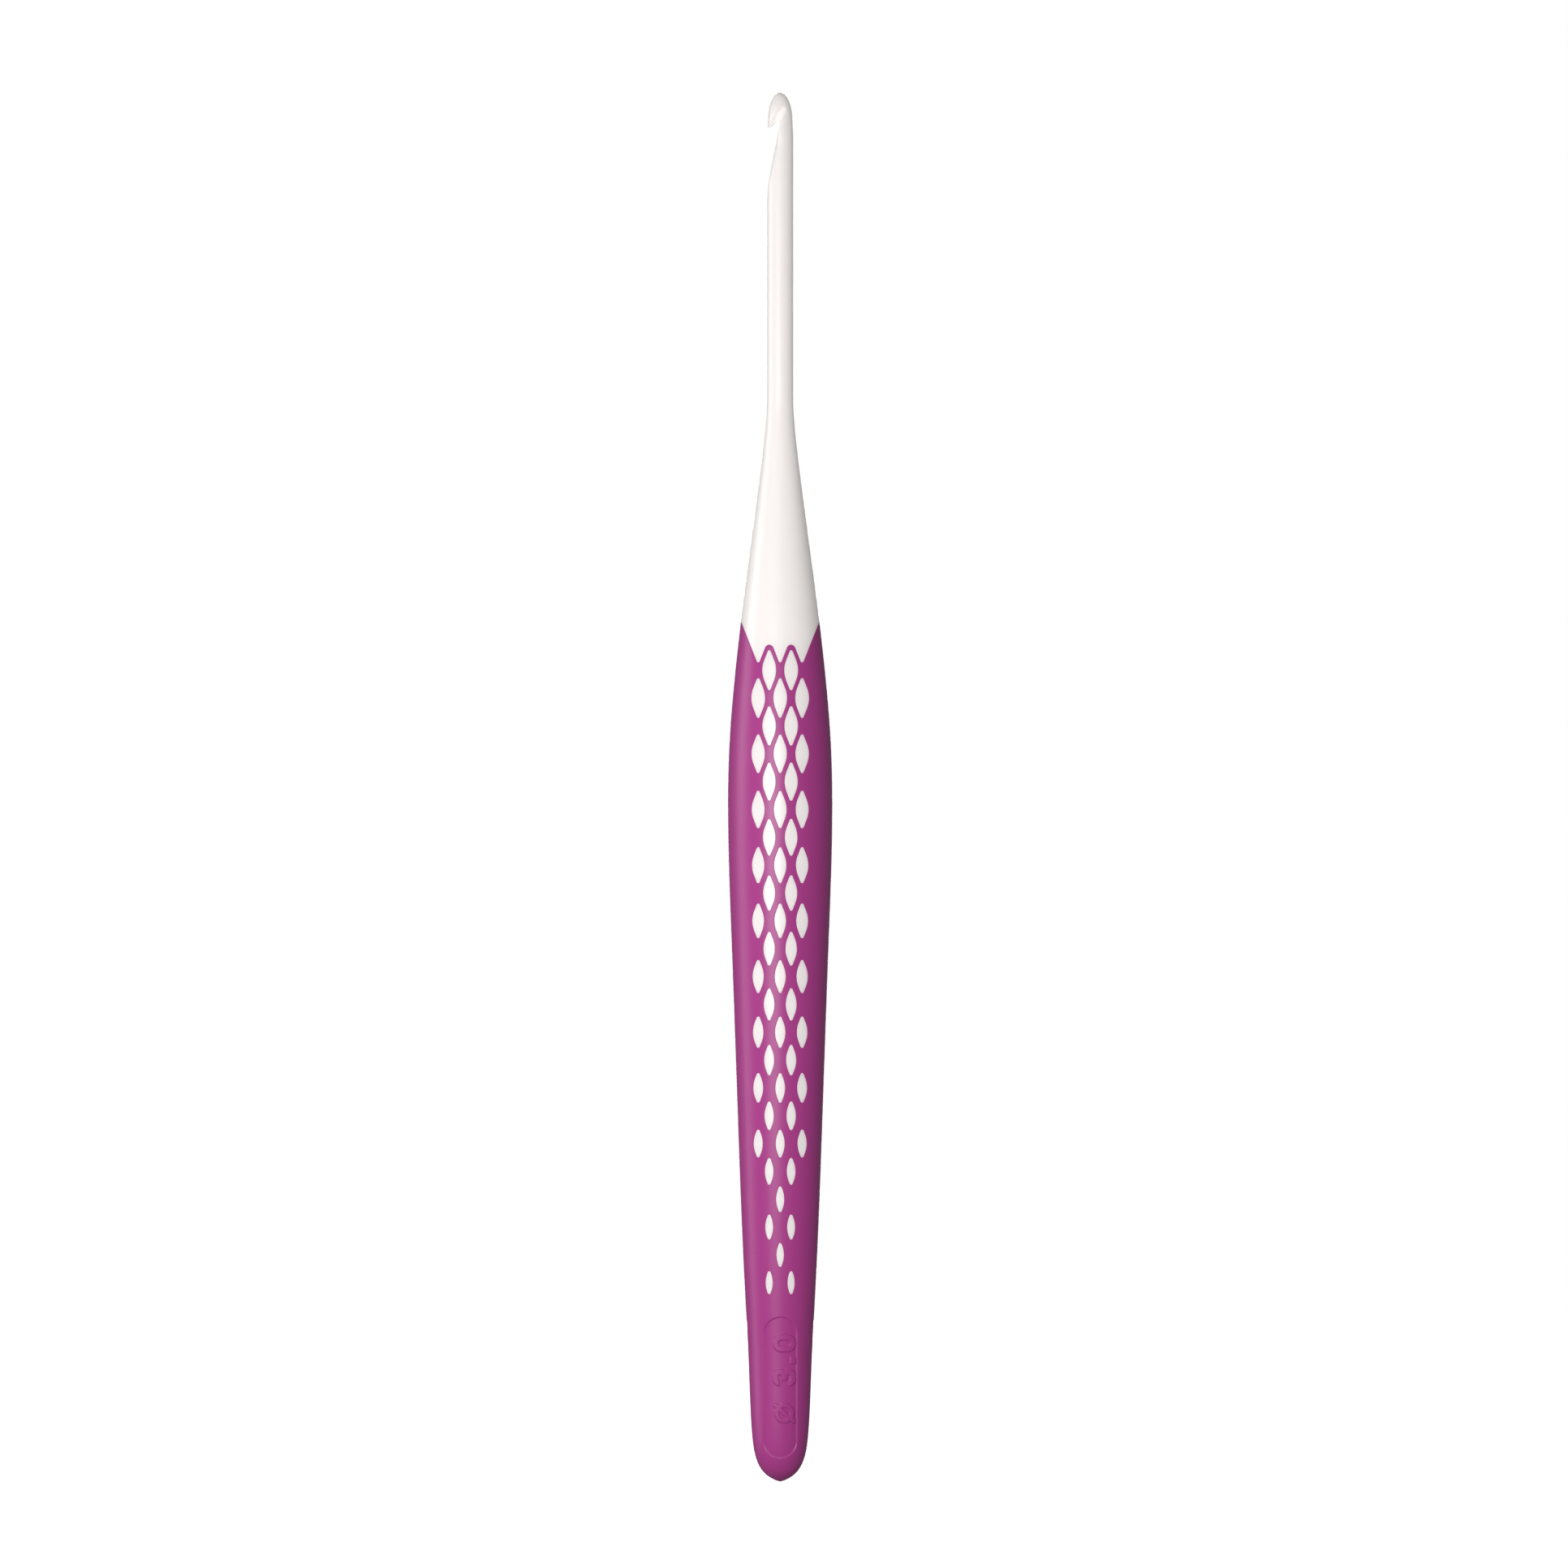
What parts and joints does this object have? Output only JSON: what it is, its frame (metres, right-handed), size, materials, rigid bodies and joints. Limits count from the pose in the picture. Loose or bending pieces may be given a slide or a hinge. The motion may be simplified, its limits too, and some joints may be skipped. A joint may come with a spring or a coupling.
{
  "type": "crochet hook",
  "caption": "Hard polymer crochet hook with an in-line throat, a straight shaft and a soft moulded grip with diamond windows.",
  "frame": {"origin": "butt end of the handle, on the hook's axis", "axes": "+Z along the hook from the butt end to the tip; the throat opens towards -X; the size panel faces -Y"},
  "size_m": [0.012, 0.012, 0.16],
  "materials": {
    "core_polymer": "smooth satin-gloss moulded polymer",
    "grip_elastomer": "soft-touch, finely matt"
  },
  "bodies": {
    "root": {"hook_core": "core_polymer", "grip_sleeve": "grip_elastomer"}
  },
  "joints": []
}
